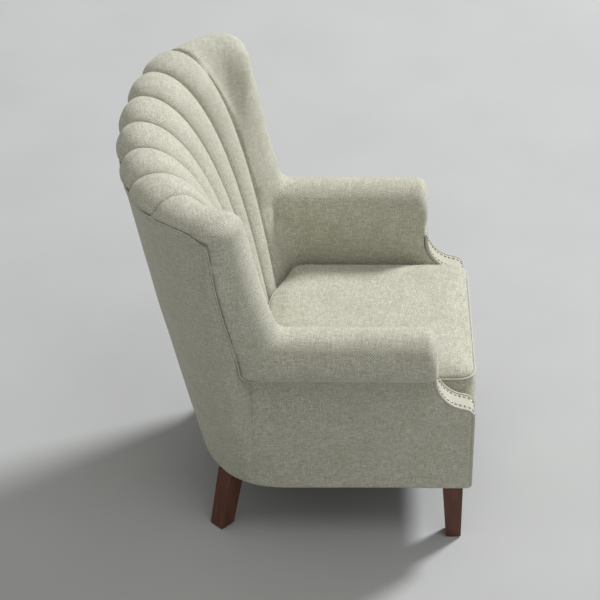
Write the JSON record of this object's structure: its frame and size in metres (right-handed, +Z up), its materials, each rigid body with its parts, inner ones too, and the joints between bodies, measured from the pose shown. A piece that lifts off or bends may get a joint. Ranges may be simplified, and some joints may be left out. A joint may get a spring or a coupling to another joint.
{
  "type": "wingback armchair",
  "caption": "Upholstered wingback armchair with a channelled fan back, rolled arms, scooped nail-trimmed arm fronts, a loose seat cushion and tapered wooden legs.",
  "frame": {"origin": "on the floor, under the middle of the chair's outer box", "axes": "-Y is the front of the chair, +Z is up, +X is the sitter's left"},
  "size_m": [0.9052, 0.8584, 1.022],
  "materials": {
    "linen_cover": "flecked woven upholstery cloth",
    "welt_cord": "cloth covered welt cord",
    "walnut_leg": "dark satin stain",
    "nail_heads": "antique, worn dome heads",
    "spring_steel": "drawn wire",
    "glide_plastic": "matt moulded",
    "dust_cloth": "thin felted cloth",
    "deck_cloth": "plain padded cloth",
    "plywood": "bent plywood",
    "beech_frame": "planed, unfinished"
  },
  "bodies": {
    "chair": {"front_seat_rail": "beech_frame", "rear_seat_rail": "beech_frame", "left_seat_rail": "beech_frame", "right_seat_rail": "beech_frame", "corner_blocks": "beech_frame", "left_front_leg": "walnut_leg", "right_front_leg": "walnut_leg", "left_rear_leg": "walnut_leg", "right_rear_leg": "walnut_leg", "leg_bolts": "spring_steel", "floor_glides": "glide_plastic", "left_arm_post": "beech_frame", "right_arm_post": "beech_frame", "left_arm_rail": "beech_frame", "right_arm_rail": "beech_frame", "left_back_post": "beech_frame", "right_back_post": "beech_frame", "lower_back_rail": "beech_frame", "crest_rail": "beech_frame", "back_uprights": "beech_frame", "left_wing_board": "beech_frame", "right_wing_board": "beech_frame", "back_former": "plywood", "seat_springs": "spring_steel", "spring_clips": "spring_steel", "deck_pad": "deck_cloth", "dust_cover": "dust_cloth", "front_border": "linen_cover", "outside_back": "linen_cover", "left_outside_arm": "linen_cover", "right_outside_arm": "linen_cover", "channel_1": "linen_cover", "channel_2": "linen_cover", "channel_3": "linen_cover", "channel_4": "linen_cover", "channel_5": "linen_cover", "channel_6": "linen_cover", "left_wing_pad": "linen_cover", "right_wing_pad": "linen_cover", "left_arm_pad": "linen_cover", "right_arm_pad": "linen_cover", "left_arm_front": "linen_cover", "right_arm_front": "linen_cover", "left_arm_welts": "welt_cord", "right_arm_welts": "welt_cord", "left_nails": "nail_heads", "right_nails": "nail_heads"},
    "cushion": {"seat_cushion": "linen_cover", "cushion_welts": "welt_cord"}
  },
  "joints": [
    {"name": "cushion_lift", "type": "slide", "parent": "chair", "child": "cushion", "axis": [0, 0, 1], "range_m": [0, 0.33]}
  ]
}
